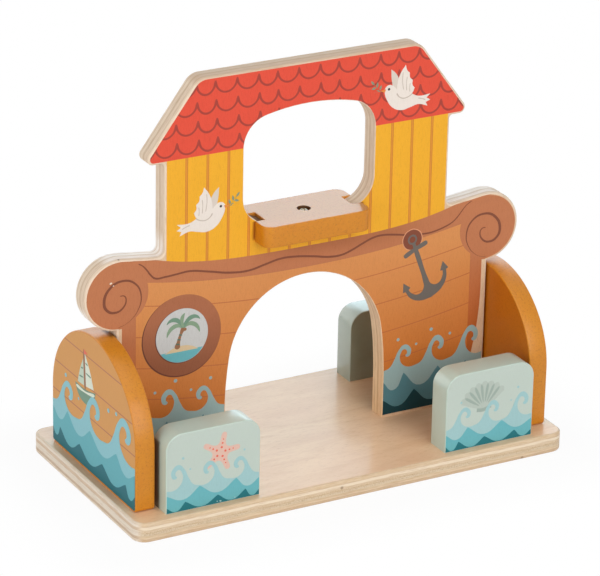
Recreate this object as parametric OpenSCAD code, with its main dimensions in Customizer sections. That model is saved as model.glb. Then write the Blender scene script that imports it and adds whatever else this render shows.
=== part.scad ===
// Toy ark: an upright plywood ark on a plywood base, with two end panels,
// four wave blocks and a small shelf in the cabin window.
// Millimetres, +X to the right, +Y to the back, +Z up.
// The origin is the middle of the base's underside.

/* [Base plate] */
// Length of the base, left to right
base_l = 280; // [262:1:320]
// Depth of the base, front to back
base_d = 141; // [130:1:170]
// Thickness of the base
base_t = 12; // [9:0.5:18]
// Radius of the base's upright corners
base_corner_r = 8; // [3:0.5:20]

/* [Ark panel] */
// Thickness of the ark panel
panel_t = 12; // [9:0.5:15]
// Height of the roof, from the eaves to the ridge
roof_h = 47; // [40:0.5:56]
// Length of the roof ridge, before its corners are rounded
ridge_l = 142; // [110:1:160]
// Radius of the ridge's corners
ridge_r = 10; // [4:0.5:16]
// Length of the roof at the eaves, before its tips are rounded
eave_l = 212; // [205:1:224]
// Radius of the eave tips
eave_tip_r = 3.7; // [1:0.1:5]
// Radius of the hollow corner under the eaves
eave_fillet_r = 2.4; // [1:0.1:4]
// Width of the cabin
cabin_w = 184; // [170:1:190]
// Height of the cabin, from the deck to the eaves
cabin_h = 55.8; // [50:0.2:62]
// Radius of the hollow corner between cabin and deck
deck_fillet_r = 3.5; // [1:0.1:5]
// Radius of the round scroll at the bow and the stern
scroll_r = 21.5; // [18:0.5:25]
// Gap between the top of an end panel and the scroll above it
scroll_gap = 2.5; // [1:0.1:6]
// How far the deck beside the cabin lies below the scroll's top
deck_drop = 3.3; // [2:0.1:6]
// How far the scroll's centre lies inside the leg's outer edge
scroll_inset = 1.4; // [0:0.2:10]
// Gap between a leg's outer edge and the end panel
leg_gap = 1; // [0.2:0.1:2]

/* [Arch] */
// Width of the archway at the base
arch_w = 105; // [90:1:115]
// Height of the archway
arch_h = 102; // [95:0.5:105]
// How far each foot of the arch spreads past the crown's radius
arch_flare = 2; // [0.5:0.1:4]
// Radius of the slightly bowed sides below the crown
arch_side_r = 232; // [150:1:400]

/* [Window] */
// Width of the window
window_w = 84.8; // [76:0.4:92]
// Height of the window from its sill to the top
window_h = 68; // [60:0.5:74]
// Radius of the window's upper corners
window_corner_r = 18.4; // [10:0.2:20]
// Radius of the bowed top of the window
window_crown_r = 124; // [80:1:300]
// Radius of the window's lower corners
sill_corner_r = 17; // [10:0.5:20]
// Wood left between the arch and the underside of the shelf
bridge_h = 25.4; // [24:0.2:30]

/* [Shelf] */
// Length of the shelf
shelf_l = 69; // [62:1:76]
// Depth of the shelf, front to back
shelf_d = 38.4; // [30:0.4:50]
// Thickness of the shelf
shelf_t = 12.7; // [11:0.1:15]
// Radius of the shelf's upright corners
shelf_corner_r = 6; // [2:0.5:8]
// Depth of the slot in each end of the shelf
shelf_slot = 6.1; // [4:0.1:9]
// How far the shelf's top stands above the window sill
shelf_proud = 2.1; // [1:0.1:4]

/* [End panels] */
// Thickness of the end panels
end_t = 12; // [9:0.5:15]
// Width of the end panels, front to back
end_w = 109; // [96:1:118]
// Height of the end panels above the base
end_h = 86; // [76:0.5:87]
// Radius of the shoulders of the end panels
end_shoulder_r = 46; // [30:1:47]
// Radius of the foot corners of the end panels
end_foot_r = 2.4; // [0.5:0.1:4]
// How much larger the crown's radius is than half the end panel's width
end_crown_extra = 2.5; // [1:0.5:10]
// Distance from the end of the base to the end panel
end_margin = 5.6; // [3:0.2:8]
// How far the end panels stand in front of the base's middle
end_forward = 1.8; // [0:0.2:5]

/* [Wave blocks] */
// Length of a wave block
block_l = 59; // [46:1:62]
// Thickness of a wave block
block_t = 16; // [12:0.5:20]
// Height of the front wave blocks
block_h = 47.8; // [40:0.2:60]
// Height of the rear wave blocks
rear_block_h = 44.6; // [40:0.2:60]
// Radius of the block's upper corners
block_corner_r = 10; // [4:0.5:16]
// Distance from the front edge of the base to the front blocks
block_margin = 5.6; // [3:0.2:10]
// Distance from the rear edge of the base to the rear blocks
rear_block_margin = 6.8; // [3:0.2:10]
// Gap between a block and the end panel beside it
block_gap = 2.6; // [1:0.2:5]

/* [Fasteners] */
// Length of the screws that come up through the base
screw_l = 34; // [30:1:40]
// Diameter of a screw's shank
screw_d = 4; // [3:0.1:5]
// Diameter of a screw's countersunk head
screw_head_d = 8; // [7:0.1:9]
// How far the screw heads lie below the face of the base
screw_sunk = 0.6; // [0.4:0.1:1.5]
// Length of the shelf's screw, from under its head
shelf_screw_l = 26; // [22:1:30]
// Diameter of the shelf screw's domed head
shelf_screw_head_d = 6.2; // [5.5:0.1:7]
// Diameter of the round recess that the shelf's screw sits in
shelf_recess_d = 8.2; // [7.6:0.1:9]
// Depth of that recess
shelf_recess_h = 2.6; // [2.5:0.1:5]
// Diameter of the dowels between the legs and the end panels
dowel_d = 6; // [5:0.5:8]
// Length of a dowel
dowel_l = 24; // [20:1:30]
// Clearance round screws and dowels, and between shelf and panel
fit = 0.1; // [0.05:0.05:0.3]

/* [Hidden] */
$fn = 96;

LEFT = -1;
RIGHT = 1;
FRONT = -1;
REAR = 1;

birch = [0.87, 0.78, 0.66];
hull_orange = [0.82, 0.53, 0.28];
mustard = [0.82, 0.56, 0.25];
sage = [0.74, 0.78, 0.72];
zinc = [0.78, 0.78, 0.76];
dowel_wood = [0.80, 0.66, 0.46];

// Where the end panels and the ark's legs stand along the base
end_out = base_l / 2 - end_margin;
end_in = end_out - end_t;
leg_out = end_in - leg_gap;
leg_in = arch_w / 2;
scroll_x = leg_out - scroll_inset;

// Heights on the ark panel, measured from its foot
scroll_z = end_h + scroll_gap + scroll_r;
deck_z = scroll_z + scroll_r - deck_drop;
eave_z = deck_z + cabin_h;
ridge_z = eave_z + roof_h;
shelf_z = arch_h + bridge_h;
sill_z = shelf_z + shelf_t - shelf_proud;

// The shelf's waist lies between its slots and drops into a notch in the sill
shelf_waist = shelf_l - 2 * shelf_slot;

// Places and heights of the blocks, in the front row and the rear row
block_x = end_in - block_gap - block_l / 2;
function row_margin(row) = row == FRONT ? block_margin : rear_block_margin;
function row_y(row) = row * (base_d / 2 - row_margin(row) - block_t / 2);
function row_h(row) = row == FRONT ? block_h : rear_block_h;

// Screw places: a share of the leg, the end panel and the block
leg_screw_x = [leg_in + (leg_out - leg_in) / 4, leg_out - (leg_out - leg_in) / 4];
end_screw_x = end_out - end_t / 2;
end_screw_y = end_w / 3;
block_screw_step = block_l / 4;

// Screw head shapes: a thin rim over a cone for the countersunk heads
head_rim_h = 0.5;
head_cone_h = (screw_head_d - screw_d) / 2;
screw_tip_l = 5;
shelf_head_h = 2.4;

// The cross-shaped recess in a screw head: its arms' length is a share of the head
recess_share = 0.6;
recess_w = 1;
recess_h = 1.6;

// Dowel heights above the base, as shares of the end panel's height
dowel_z = [end_h * 2 / 5, end_h * 3 / 4];
dowel_in_end = end_t * 2 / 3;

// A cut that has to break through a face runs this far past it
past = 1;

// Where a round runs into a slanted line or another round, it overlaps it this much
blend = 0.005;
// A slice of a round runs this angle past the points where it blends
slice_margin = 15;

// Outline helpers

function unit(v) = v / norm(v);

function flat(corner) = [corner[0], corner[1]];

// The two directions from a corner towards its neighbours
function arms(list, i) =
  let (n = len(list), here = flat(list[i]))
  [unit(flat(list[(i + n - 1) % n]) - here), unit(flat(list[(i + 1) % n]) - here)];

function half_angle(arm) = acos(arm[0] * arm[1]) / 2;

// Corners are listed anticlockwise, so a left turn is an outer corner
function is_outer(list, i) = let (arm = arms(list, i)) cross(arm[1], arm[0]) > 0;

function round_centre(list, i) =
  let (arm = arms(list, i))
  flat(list[i]) + unit(arm[0] + arm[1]) * list[i][2] / sin(half_angle(arm));

// The corner itself, or the two points where its round starts and ends
function round_ends(list, i) =
  let (arm = arms(list, i), reach = list[i][2] / tan(half_angle(arm)))
  list[i][2] == 0 ? [flat(list[i])]
                  : [flat(list[i]) + arm[0] * reach, flat(list[i]) + arm[1] * reach];

// Where a line from a point outside a circle touches it, on the circle's upper side
function touch_point(centre, r, from) =
  let (v = from - centre, a = atan2(v[1], v[0]) - acos(r / norm(v)))
  centre + r * [cos(a), sin(a)];

// A polygon of [x, y, radius] corners, with true arcs at its outer and hollow corners
module rounded_polygon(list, overlap = 0) {
  difference() {
    union() {
      polygon([for (i = [0 : len(list) - 1]) each round_ends(list, i)]);
      for (i = [0 : len(list) - 1])
        if (list[i][2] > 0 && is_outer(list, i))
          translate(round_centre(list, i)) circle(list[i][2] + overlap);
    }
    for (i = [0 : len(list) - 1])
      if (list[i][2] > 0 && !is_outer(list, i))
        translate(round_centre(list, i)) circle(list[i][2] + overlap);
  }
}

// The part of a circle at the origin between two angles less than half a turn apart
module slice(r, from_angle, to_angle) {
  reach = 2 * r;
  middle = (from_angle + to_angle) / 2;
  intersection() {
    circle(r);
    polygon([
      [0, 0],
      reach * [cos(from_angle), sin(from_angle)],
      reach * [cos(middle), sin(middle)],
      reach * [cos(to_angle), sin(to_angle)]
    ]);
  }
}

// A flat-footed shape whose top is a shallow crown that runs into round shoulders.
// Crown and shoulder meet on the line through both their centres.
module crowned_shape(w, h, shoulder_r, crown_r, foot_r = 0) {
  crown_y = h - crown_r;
  shoulder_x = w / 2 - shoulder_r;
  shoulder_y = crown_y + sqrt(pow(crown_r - shoulder_r, 2) - pow(shoulder_x, 2));
  slant = atan2(shoulder_y - crown_y, shoulder_x);
  reach = 2 * crown_r * [cos(slant), sin(slant)];
  rounded_polygon([
    [-w / 2, 0, foot_r], [w / 2, 0, foot_r],
    [w / 2, shoulder_y, 0], [-w / 2, shoulder_y, 0]
  ]);
  intersection() {
    translate([0, crown_y]) circle(crown_r);
    polygon([
      [-shoulder_x, shoulder_y - past], [shoulder_x, shoulder_y - past],
      [reach[0], crown_y + reach[1]], [-reach[0], crown_y + reach[1]]
    ]);
  }
  for (side = [0, 1])
    mirror([side, 0]) translate([shoulder_x, shoulder_y])
      slice(shoulder_r + blend, -slice_margin, slant + slice_margin);
}

// The archway: a round crown on sides that bow out a little towards the foot
module arch_shape() {
  crown_r = arch_w / 2 - arch_flare;
  crown_y = arch_h - crown_r;
  side_x = arch_w / 2 - arch_side_r;
  side_y = crown_y - sqrt(pow(arch_side_r - crown_r, 2) - pow(side_x, 2));
  meet_y = crown_y + crown_r * (crown_y - side_y) / (arch_side_r - crown_r);
  translate([0, crown_y]) circle(crown_r + 2 * blend);
  intersection() {
    translate([side_x, side_y]) circle(arch_side_r + blend);
    translate([-side_x, side_y]) circle(arch_side_r + blend);
    translate([-arch_w, 0]) square([2 * arch_w, meet_y]);
  }
  translate([-arch_w / 2, -past]) square([arch_w, side_y + past]);
}

// The window: round corners at the sill, a bowed top, and the notch for the shelf
module window_shape() {
  half_w = window_w / 2;
  half_h = window_h / 2;
  translate([0, sill_z]) {
    rounded_polygon([
      [-half_w, 0, sill_corner_r], [half_w, 0, sill_corner_r],
      [half_w, half_h, 0], [-half_w, half_h, 0]
    ]);
    translate([0, half_h])
      crowned_shape(window_w, half_h, window_corner_r, window_crown_r);
  }
  translate([-shelf_waist / 2 - fit, shelf_z])
    square([shelf_waist + 2 * fit, half_h]);
}

// The right half of the ark's outline, anticlockwise from the middle of its foot.
// The deck rises from the cabin in a straight line that runs into the scroll.
module half_ark_shape() {
  cabin_x = cabin_w / 2;
  deck_end = touch_point([scroll_x, scroll_z], scroll_r - blend, [cabin_x, deck_z]);
  rounded_polygon([
    [0, 0, 0],
    [leg_out, 0, 0],
    [leg_out, scroll_z, 0],
    [deck_end[0], deck_end[1], 0],
    [cabin_x, deck_z, deck_fillet_r],
    [cabin_x, eave_z, eave_fillet_r],
    [eave_l / 2, eave_z, eave_tip_r],
    [ridge_l / 2, ridge_z, ridge_r],
    [0, ridge_z, 0]
  ], blend);
  translate([scroll_x, scroll_z]) circle(scroll_r);
}

// Fasteners

// Profile of a countersunk wood screw with its head at the foot, grown by a clearance
module screw_profile(grow) {
  head_r = screw_head_d / 2 + grow;
  shank_r = screw_d / 2 + grow;
  cone_y = head_rim_h + head_cone_h;
  polygon([
    [0, 0], [head_r, 0], [head_r, head_rim_h], [shank_r, cone_y],
    [shank_r, screw_l - screw_tip_l], [grow, screw_l + grow], [0, screw_l + grow]
  ]);
}

module cross_recess(head_d) {
  for (turn = [0, 90])
    rotate(turn) cube([head_d * recess_share, recess_w, 2 * recess_h], center = true);
}

module base_screw() {
  translate([0, 0, screw_sunk]) difference() {
    rotate_extrude() screw_profile(0);
    cross_recess(screw_head_d);
  }
}

// The hole that a base screw needs, open at the underside of the base
module base_screw_hole() {
  translate([0, 0, screw_sunk]) rotate_extrude() screw_profile(fit);
  translate([0, 0, -past]) cylinder(h = screw_sunk + past, r = screw_head_d / 2 + fit);
}

module at_leg_screws() {
  for (side = [LEFT, RIGHT], x = leg_screw_x)
    translate([side * x, 0, 0]) children();
}

module at_end_screws(sides) {
  for (side = sides, end = [FRONT, REAR])
    translate([side * end_screw_x, end * end_screw_y - end_forward, 0]) children();
}

module at_block_screws(sides, rows) {
  for (side = sides, row = rows, step = [-1, 1])
    translate([side * block_x + step * block_screw_step, row_y(row), 0]) children();
}

// Dowels lie along X, through the leg's edge into the end panel
module at_dowels(sides) {
  for (side = sides, z = dowel_z)
    translate([side * (end_in + dowel_in_end), 0, base_t + z])
      rotate([0, -side * 90, 0]) children();
}

// The shelf's screw points down, with the underside of its head on the recess's floor
module shelf_screw_seat() {
  translate([0, 0, base_t + shelf_z + shelf_t - shelf_recess_h]) children();
}

module shelf_screw_hole() {
  shelf_screw_seat() {
    cylinder(h = shelf_recess_h + past, d = shelf_recess_d);
    translate([0, 0, -shelf_screw_l - fit])
      cylinder(h = shelf_screw_l + fit + past, r = screw_d / 2 + fit);
  }
}

// Sub-parts

module base_plate() {
  half_l = base_l / 2;
  half_d = base_d / 2;
  color(birch) difference() {
    linear_extrude(base_t) rounded_polygon([
      [-half_l, -half_d, base_corner_r], [half_l, -half_d, base_corner_r],
      [half_l, half_d, base_corner_r], [-half_l, half_d, base_corner_r]
    ]);
    at_leg_screws() base_screw_hole();
    at_end_screws([LEFT, RIGHT]) base_screw_hole();
    at_block_screws([LEFT, RIGHT], [FRONT, REAR]) base_screw_hole();
  }
}

module ark_panel() {
  color(hull_orange) difference() {
    translate([0, panel_t / 2, base_t]) rotate([90, 0, 0]) linear_extrude(panel_t) difference() {
      union() {
        half_ark_shape();
        mirror([1, 0]) half_ark_shape();
      }
      arch_shape();
      window_shape();
    }
    at_leg_screws() base_screw_hole();
    at_dowels([LEFT, RIGHT]) cylinder(h = dowel_l + fit, r = dowel_d / 2 + fit);
    shelf_screw_hole();
  }
}

module end_panel(side) {
  color(mustard) difference() {
    translate([side * (end_in + end_t / 2) - end_t / 2, -end_forward, base_t])
      rotate([90, 0, 90]) linear_extrude(end_t)
        crowned_shape(end_w, end_h, end_shoulder_r, end_w / 2 + end_crown_extra, end_foot_r);
    at_end_screws([side]) base_screw_hole();
    at_dowels([side]) translate([0, 0, -fit]) cylinder(h = dowel_l, r = dowel_d / 2 + fit);
  }
}

module wave_block(side, row) {
  color(sage) difference() {
    translate([side * block_x, row_y(row) + block_t / 2, base_t])
      rotate([90, 0, 0]) linear_extrude(block_t) rounded_polygon([
        [-block_l / 2, 0, 0], [block_l / 2, 0, 0],
        [block_l / 2, row_h(row), block_corner_r], [-block_l / 2, row_h(row), block_corner_r]
      ]);
    at_block_screws([side], [row]) base_screw_hole();
  }
}

module window_shelf() {
  half_l = shelf_l / 2;
  half_d = shelf_d / 2;
  slot_w = panel_t + 2 * fit;
  color(mustard) difference() {
    translate([0, 0, base_t + shelf_z]) linear_extrude(shelf_t) difference() {
      rounded_polygon([
        [-half_l, -half_d, shelf_corner_r], [half_l, -half_d, shelf_corner_r],
        [half_l, half_d, shelf_corner_r], [-half_l, half_d, shelf_corner_r]
      ]);
      for (side = [LEFT, RIGHT])
        translate([side * half_l, 0]) square([2 * shelf_slot, slot_w], center = true);
    }
    shelf_screw_hole();
  }
}

module shelf_screw() {
  head_r = shelf_screw_head_d / 2;
  shank_r = screw_d / 2;
  dome_r = (head_r * head_r + shelf_head_h * shelf_head_h) / (2 * shelf_head_h);
  color(zinc) shelf_screw_seat() difference() {
    union() {
      rotate_extrude() intersection() {
        translate([0, shelf_head_h - dome_r]) circle(dome_r);
        square([head_r + past, shelf_head_h]);
      }
      rotate_extrude() polygon([
        [0, -shelf_screw_l], [shank_r, screw_tip_l - shelf_screw_l], [shank_r, 0], [0, 0]
      ]);
    }
    translate([0, 0, shelf_head_h]) cross_recess(shelf_screw_head_d);
  }
}

module leg_screws() {
  color(zinc) at_leg_screws() base_screw();
}

module end_panel_screws() {
  color(zinc) at_end_screws([LEFT, RIGHT]) base_screw();
}

module wave_block_screws() {
  color(zinc) at_block_screws([LEFT, RIGHT], [FRONT, REAR]) base_screw();
}

module leg_dowels() {
  color(dowel_wood) at_dowels([LEFT, RIGHT]) cylinder(h = dowel_l, d = dowel_d);
}

base_plate();
ark_panel();
end_panel(LEFT);  // left_end_panel
end_panel(RIGHT);  // right_end_panel
wave_block(LEFT, FRONT);  // front_left_wave_block
wave_block(RIGHT, FRONT);  // front_right_wave_block
wave_block(LEFT, REAR);  // rear_left_wave_block
wave_block(RIGHT, REAR);  // rear_right_wave_block
window_shelf();
shelf_screw();
leg_screws();
end_panel_screws();
wave_block_screws();
leg_dowels();
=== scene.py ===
"""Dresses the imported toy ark: plywood, paint and print, on a white studio floor."""

import math

import bmesh
import bpy
from mathutils import Matrix, Vector


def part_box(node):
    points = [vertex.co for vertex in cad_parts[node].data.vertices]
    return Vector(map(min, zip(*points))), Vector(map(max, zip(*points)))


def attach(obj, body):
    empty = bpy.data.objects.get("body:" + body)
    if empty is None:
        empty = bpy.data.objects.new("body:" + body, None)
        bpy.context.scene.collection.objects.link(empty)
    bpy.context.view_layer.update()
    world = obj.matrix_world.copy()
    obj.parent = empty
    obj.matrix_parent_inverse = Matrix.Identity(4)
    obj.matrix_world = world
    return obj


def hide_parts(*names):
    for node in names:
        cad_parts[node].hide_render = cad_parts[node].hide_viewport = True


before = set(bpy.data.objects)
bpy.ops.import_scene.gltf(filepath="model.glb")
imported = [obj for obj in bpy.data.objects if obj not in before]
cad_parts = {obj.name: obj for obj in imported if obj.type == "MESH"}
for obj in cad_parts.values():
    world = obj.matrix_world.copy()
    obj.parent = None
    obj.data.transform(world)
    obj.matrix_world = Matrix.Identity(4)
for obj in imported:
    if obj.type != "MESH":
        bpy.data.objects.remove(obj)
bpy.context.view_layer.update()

MM = 0.001

X_AXIS = 0
Y_AXIS = 1
Z_AXIS = 2

# Round-overs of the boards, in millimetres
OUTLINE_ROUND = 1.3
OPENING_ROUND = 0.35
BASE_ROUND = 1.2
END_ROUND = 0.8
BLOCK_ROUND = 0.45
SHELF_ROUND = 0.5

# Places on the boards, in millimetres, as in the part
PANEL_T = 12
BASE_TOP = 12
BASE_HALF_X = 140
BASE_HALF_Y = 70.5
EAVE_Z = 197.3
SCROLL_X = 120
SCROLL_Z = 121.9

# Places of the print, in millimetres. The radii are round the middle of a scroll: of its brown
# disc, of the rim that is bare on the right, and of the ink.
PRINT_FOOT = 13.6
CABIN_HALF = 90.7
SCROLL_DISC = 18.2
SCROLL_RIM = 19.7
SCROLL_INK = 20.4

# How soft the edge of a painted line is. A stamped shape starts under the face that carries
# it, and each of its layers stands a step above the last. Its points that are close are merged.
INK_SOFT = 0.12
INK_SUNK = 0.05
INK_STEP = 0.015
INK_WELD = 0.002

# Marks a sharp corner in a stamped outline; the other points are smooth
CORNER = True


def seen(red, green, blue):
    """A colour as it looks on a screen, 0 to 255, in Blender's linear values."""
    shares = [value / 255 for value in (red, green, blue)]
    linear = [v / 12.92 if v <= 0.04045 else ((v + 0.055) / 1.055) ** 2.4 for v in shares]
    return (*linear, 1.0)


# Tones of the wood
BIRCH = seen(236, 203, 163)
BIRCH_FLAME = seen(214, 171, 128)
BIRCH_PATCH = seen(231, 193, 158)
BIRCH_PORES = seen(186, 142, 104)
# Painted shade for the base's bays beside the hull
BAY_SHADE = seen(190, 148, 112)
RIM_BROWN = seen(208, 172, 136)
BARE_WOOD = seen(226, 202, 170)
EDGE_STREAKS = seen(186, 150, 114)
EDGE_FIBRES = seen(242, 230, 210)
EDGE_TICKS = seen(168, 130, 92)
EDGE_KNOTS = seen(120, 90, 60)
RIDGE_TAN = seen(196, 164, 134)
SCROLL_KNOT = seen(96, 88, 78)
# Painted shade for the slot at the shelf's left end
SLOT_SHADE = seen(100, 58, 16)
BEECH = seen(212, 174, 130)
BEECH_FLECKS = seen(170, 122, 82)

# What multiplies the tone of an edge: a painted highlight on the decks and under the scrolls, and painted
# warm bounce light in the archway
DECK_HIGHLIGHT_GAIN = (1.27, 1.47, 1.79, 1.0)
ARCH_BOUNCE_GAIN = (1.18, 1.06, 0.84, 1.0)

# Tones of the print
ROOF_RED = seen(225, 78, 55)
ROOF_LINE = seen(164, 62, 50)
CABIN_YELLOW = seen(240, 174, 37)
CABIN_DARK = seen(200, 116, 44)
CABIN_LIGHT = seen(220, 144, 48)
GUNWALE_BROWN = seen(190, 119, 78)
# Painted shadow of the shelf on the gunwale
GUNWALE_SHELF_SHADOW = seen(175, 107, 67)
STRIP_BROWN = seen(188, 101, 44)
HULL_TOP = seen(216, 144, 82)
# Painted shade at the foot of the hull
HULL_FOOT_SHADE = seen(204, 118, 48)
HULL_LINE = seen(184, 100, 60)
RING_BROWN = seen(170, 104, 70)
RING_FOOT = seen(146, 86, 56)
RING_LINE = seen(104, 58, 42)
PORT_GLASS = seen(203, 204, 202)
# Painted shadow beside the shelf's ends
SHELF_NOOK_SHADOW = seen(150, 72, 2)
PLANK_TAN = seen(211, 149, 74)
PLANK_LINE = seen(170, 98, 74)
MINT = seen(188, 201, 191)
INK_MOTTLE = seen(140, 90, 60)
INK_FIBRES = seen(150, 100, 70)

# Tones of the paint and the metal
MUSTARD = seen(204, 131, 14)
# Painted shade: the mustard of the end panels' inner faces
MUSTARD_SHADED = seen(188, 106, 2)
MUSTARD_CLOUD = seen(202, 120, 8)
MUSTARD_GRAIN = seen(192, 112, 8)
MUSTARD_SPECKS = seen(166, 96, 14)
# Painted shade: the mustard of the shelf's top
SHELF_TOP_SHADED = seen(190, 126, 4)
# Painted shade for the shelf's round recess
BORE_SHADE = seen(92, 58, 24)
# Painted shadow under the left scroll
SCROLL_SHADOW = seen(72, 42, 14)
SAGE = seen(184, 204, 192)
# Painted shade: the sage of the blocks' faces towards the hull
SAGE_SHADED = seen(154, 164, 142)
SAGE_CLOUD = seen(180, 193, 181)
SAGE_SPECKS = seen(150, 160, 146)
# Painted shade at the foot of the rear blocks
SAGE_FOOT_SHADE = seen(128, 130, 114)
# Painted shade for the gaps beside the end panels
GAP_SHADE = seen(70, 58, 40)
ZINC_DARK = seen(190, 178, 156)
ZINC_LIGHT = seen(224, 214, 196)


class Field:
    """A shader socket. Python's operators on values add Math nodes to its tree."""

    def __init__(self, nodes, socket):
        self.nodes = nodes
        self.socket = socket

    def math(self, operation, *others):
        values = dict(enumerate((self, *others)))
        return self.nodes.node("ShaderNodeMath", {"operation": operation}, values)

    def __add__(self, other):
        return self.math("ADD", other)

    def __radd__(self, other):
        return self.math("ADD", other)

    def __sub__(self, other):
        return self.math("SUBTRACT", other)

    def __rsub__(self, other):
        return self.nodes.node("ShaderNodeMath", {"operation": "SUBTRACT"}, {0: other, 1: self})

    def __mul__(self, other):
        return self.math("MULTIPLY", other)

    def __rmul__(self, other):
        return self.math("MULTIPLY", other)

    def __truediv__(self, other):
        return self.math("DIVIDE", other)

    def __pow__(self, other):
        return self.math("POWER", other)

    def __abs__(self):
        return self.math("ABSOLUTE")

    def least(self, other):
        return self.math("MINIMUM", other)

    def most(self, other):
        return self.math("MAXIMUM", other)

    def wrap(self, low, high):
        return self.math("WRAP", high, low)

    def rise(self, low, high):
        """A mask that rises evenly from 0 at the low level to 1 at the high one."""
        return ((self - low) / (high - low)).most(0).least(1)

    def step(self, edge, soft, before, after):
        """A change from one value to another that is soft on both sides of the edge."""
        values = {0: self, 1: edge - soft, 2: edge + soft, 3: before, 4: after}
        return self.nodes.node("ShaderNodeMapRange", {"interpolation_type": "SMOOTHSTEP"}, values)

    def above(self, edge, soft=INK_SOFT):
        """A mask that is 0 below the edge and 1 above it."""
        return self.step(edge, soft, 0, 1)

    def below(self, edge, soft=INK_SOFT):
        """A mask that is 1 below the edge and 0 above it."""
        return self.step(edge, soft, 1, 0)


class Nodes:
    """A node tree of a material or of the world, empty at first."""

    def __init__(self, tree):
        self.tree = tree
        self.tree.nodes.clear()

    def node(self, kind, settings, sockets, output=0):
        """Adds a node: its settings first, then the values or links of its sockets."""
        made = self.tree.nodes.new(kind)
        for name, value in settings.items():
            if name == "stops":
                ramp = made.color_ramp
                while len(ramp.elements) < len(value):
                    ramp.elements.new(0.5)
                for element, (position, colour) in zip(ramp.elements, value):
                    element.position = position
                    element.color = colour
            else:
                setattr(made, name, value)
        for name, value in sockets.items():
            if isinstance(value, Field):
                self.tree.links.new(value.socket, made.inputs[name])
            else:
                made.inputs[name].default_value = value
        return Field(self, made.outputs[output])

    def shown_rays(self):
        """A mask of the rays that see the backdrop: the camera's, and mirrored or passed ones."""
        looked_at = self.node("ShaderNodeLightPath", {}, {}, "Is Camera Ray")
        mirrored = self.node("ShaderNodeLightPath", {}, {}, "Is Glossy Ray")
        passed = self.node("ShaderNodeLightPath", {}, {}, "Is Transmission Ray")
        return looked_at.most(mirrored).most(passed)

    def close(self, shader, kind):
        """Leads the shader to the output of the tree."""
        end = self.tree.nodes.new(kind)
        self.tree.links.new(shader.socket, end.inputs["Surface"])


class Finish(Nodes):
    """One material. Its places are Object coordinates in millimetres."""

    def __init__(self, name):
        self.material = bpy.data.materials.new(name)
        self.material.use_nodes = True
        super().__init__(self.material.node_tree)
        metres = self.node("ShaderNodeTexCoord", {}, {}, "Object")
        scale = {"operation": "SCALE"}
        self.place = self.node("ShaderNodeVectorMath", scale, {0: metres, "Scale": 1 / MM})
        self.x = self.node("ShaderNodeSeparateXYZ", {}, {0: self.place}, "X")
        self.y = self.node("ShaderNodeSeparateXYZ", {}, {0: self.place}, "Y")
        self.z = self.node("ShaderNodeSeparateXYZ", {}, {0: self.place}, "Z")

    def mix(self, factor, first, second, blend="MIX"):
        settings = {"data_type": "RGBA", "blend_type": blend}
        return self.node("ShaderNodeMix", settings, {0: factor, 6: first, 7: second}, 2)

    def noise(self, size, stretch=(1, 1, 1), detail=2.0, rough=0.5, warp=0.0):
        """Noise with spots of about this size in millimetres, drawn out along the axes."""
        scale = tuple(1 / (size * share) for share in stretch)
        spot = self.node("ShaderNodeVectorMath", {"operation": "MULTIPLY"}, {0: self.place, 1: scale})
        sockets = {"Vector": spot, "Scale": 1.0, "Detail": detail, "Roughness": rough, "Distortion": warp}
        return self.node("ShaderNodeTexNoise", {}, sockets)

    def spot(self, across, up):
        return self.node("ShaderNodeCombineXYZ", {}, {0: across, 1: up, 2: 0.0})

    def reach(self, spot, across, up):
        """Distance from a point of the print."""
        sockets = {0: spot, 1: (across, up, 0)}
        return self.node("ShaderNodeVectorMath", {"operation": "DISTANCE"}, sockets, "Value")

    def shade(self, colour, roughness, height=None, depth=0.05, bump=0.4, **fixed):
        """Closes the material: one Principled shader, with a bump of this depth in millimetres."""
        sockets = {"Base Color": colour, "Roughness": roughness}
        if height is not None:
            relief = {"Strength": bump, "Distance": depth * MM, "Height": height}
            sockets["Normal"] = self.node("ShaderNodeBump", {}, relief)
        for name, value in fixed.items():
            sockets[name.replace("_", " ")] = value
        return self.finished(self.node("ShaderNodeBsdfPrincipled", {}, sockets))

    def finished(self, shader):
        self.close(shader, "ShaderNodeOutputMaterial")
        return self.material


# Wood

# Layers of a plywood edge: thickness and tone, from the front face or the top face. The layers
# cross each other, so the base's long edges and its ends have tones of their own.
PANEL_LAYERS = [
    (1.7, seen(225, 202, 178)),
    (0.6, seen(213, 187, 160)),
    (2.8, seen(225, 202, 179)),
    (1.6, seen(209, 182, 154)),
    (2.4, seen(230, 210, 187)),
    (0.7, seen(213, 188, 161)),
    (1.5, seen(231, 211, 189)),
    (0.7, seen(224, 200, 175)),
]
BASE_LONG_LAYERS = [
    (2.6, seen(210, 182, 146)),
    (1.6, seen(229, 211, 186)),
    (1.6, seen(211, 186, 152)),
    (0.7, seen(200, 174, 139)),
    (1.4, seen(208, 187, 156)),
    (1.1, seen(207, 181, 146)),
    (0.7, seen(217, 191, 157)),
    (2.3, seen(200, 169, 133)),
]
BASE_END_LAYERS = [
    (1.0, seen(218, 200, 178)),
    (1.5, seen(230, 216, 200)),
    (1.5, seen(210, 183, 153)),
    (0.5, seen(206, 181, 153)),
    (3.4, seen(227, 213, 196)),
    (0.5, seen(214, 194, 168)),
    (1.4, seen(194, 166, 137)),
    (2.2, seen(230, 214, 195)),
]
# Half of a glue line, as a share of the board
GLUE_LINE = 0.008


def ply_colour(finish, layers, depth):
    """The tones of a plywood edge, by how deep a place lies in the board."""
    total = sum(thickness for thickness, tone in layers)
    stops = []
    level = 0
    for thickness, tone in layers:
        stops.append((level / total + GLUE_LINE, tone))
        level += thickness
        stops.append((level / total - GLUE_LINE, tone))
    return finish.node("ShaderNodeValToRGB", {"stops": stops}, {0: depth})


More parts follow.
